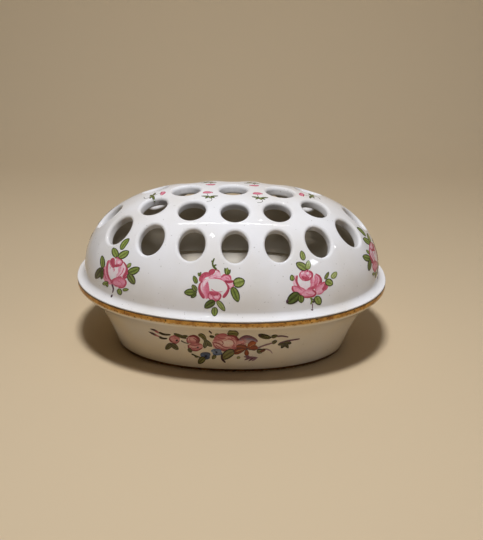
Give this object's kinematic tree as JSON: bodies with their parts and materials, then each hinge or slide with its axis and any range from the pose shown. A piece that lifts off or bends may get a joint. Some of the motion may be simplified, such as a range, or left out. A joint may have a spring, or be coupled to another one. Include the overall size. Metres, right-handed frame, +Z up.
{
  "type": "jardiniere",
  "caption": "Oval footed porcelain bowl with a lift-off domed cover pierced by rows of stem holes, for arranging cut flowers.",
  "frame": {"origin": "middle of the foot, on the surface that the bowl stands on", "axes": "+Z up, +X along the oval's length; the side in the picture faces -Y"},
  "size_m": [0.2, 0.14, 0.1058],
  "materials": {
    "bowl_porcelain": "gloss",
    "cover_porcelain": "gloss",
    "rim_gold": "satin",
    "foot_gold": "satin",
    "flower_enamel": "gloss",
    "leaf_enamel": "gloss"
  },
  "bodies": {
    "bowl_body": {"bowl": "bowl_porcelain", "rim_gilding": "rim_gold", "foot_gilding": "foot_gold"},
    "cover_body": {"pierced_cover": "cover_porcelain"}
  },
  "joints": [
    {"name": "cover_lift", "type": "slide", "parent": "bowl_body", "child": "cover_body", "axis": [0, 0, 1], "range_m": [0, 0.12]}
  ]
}
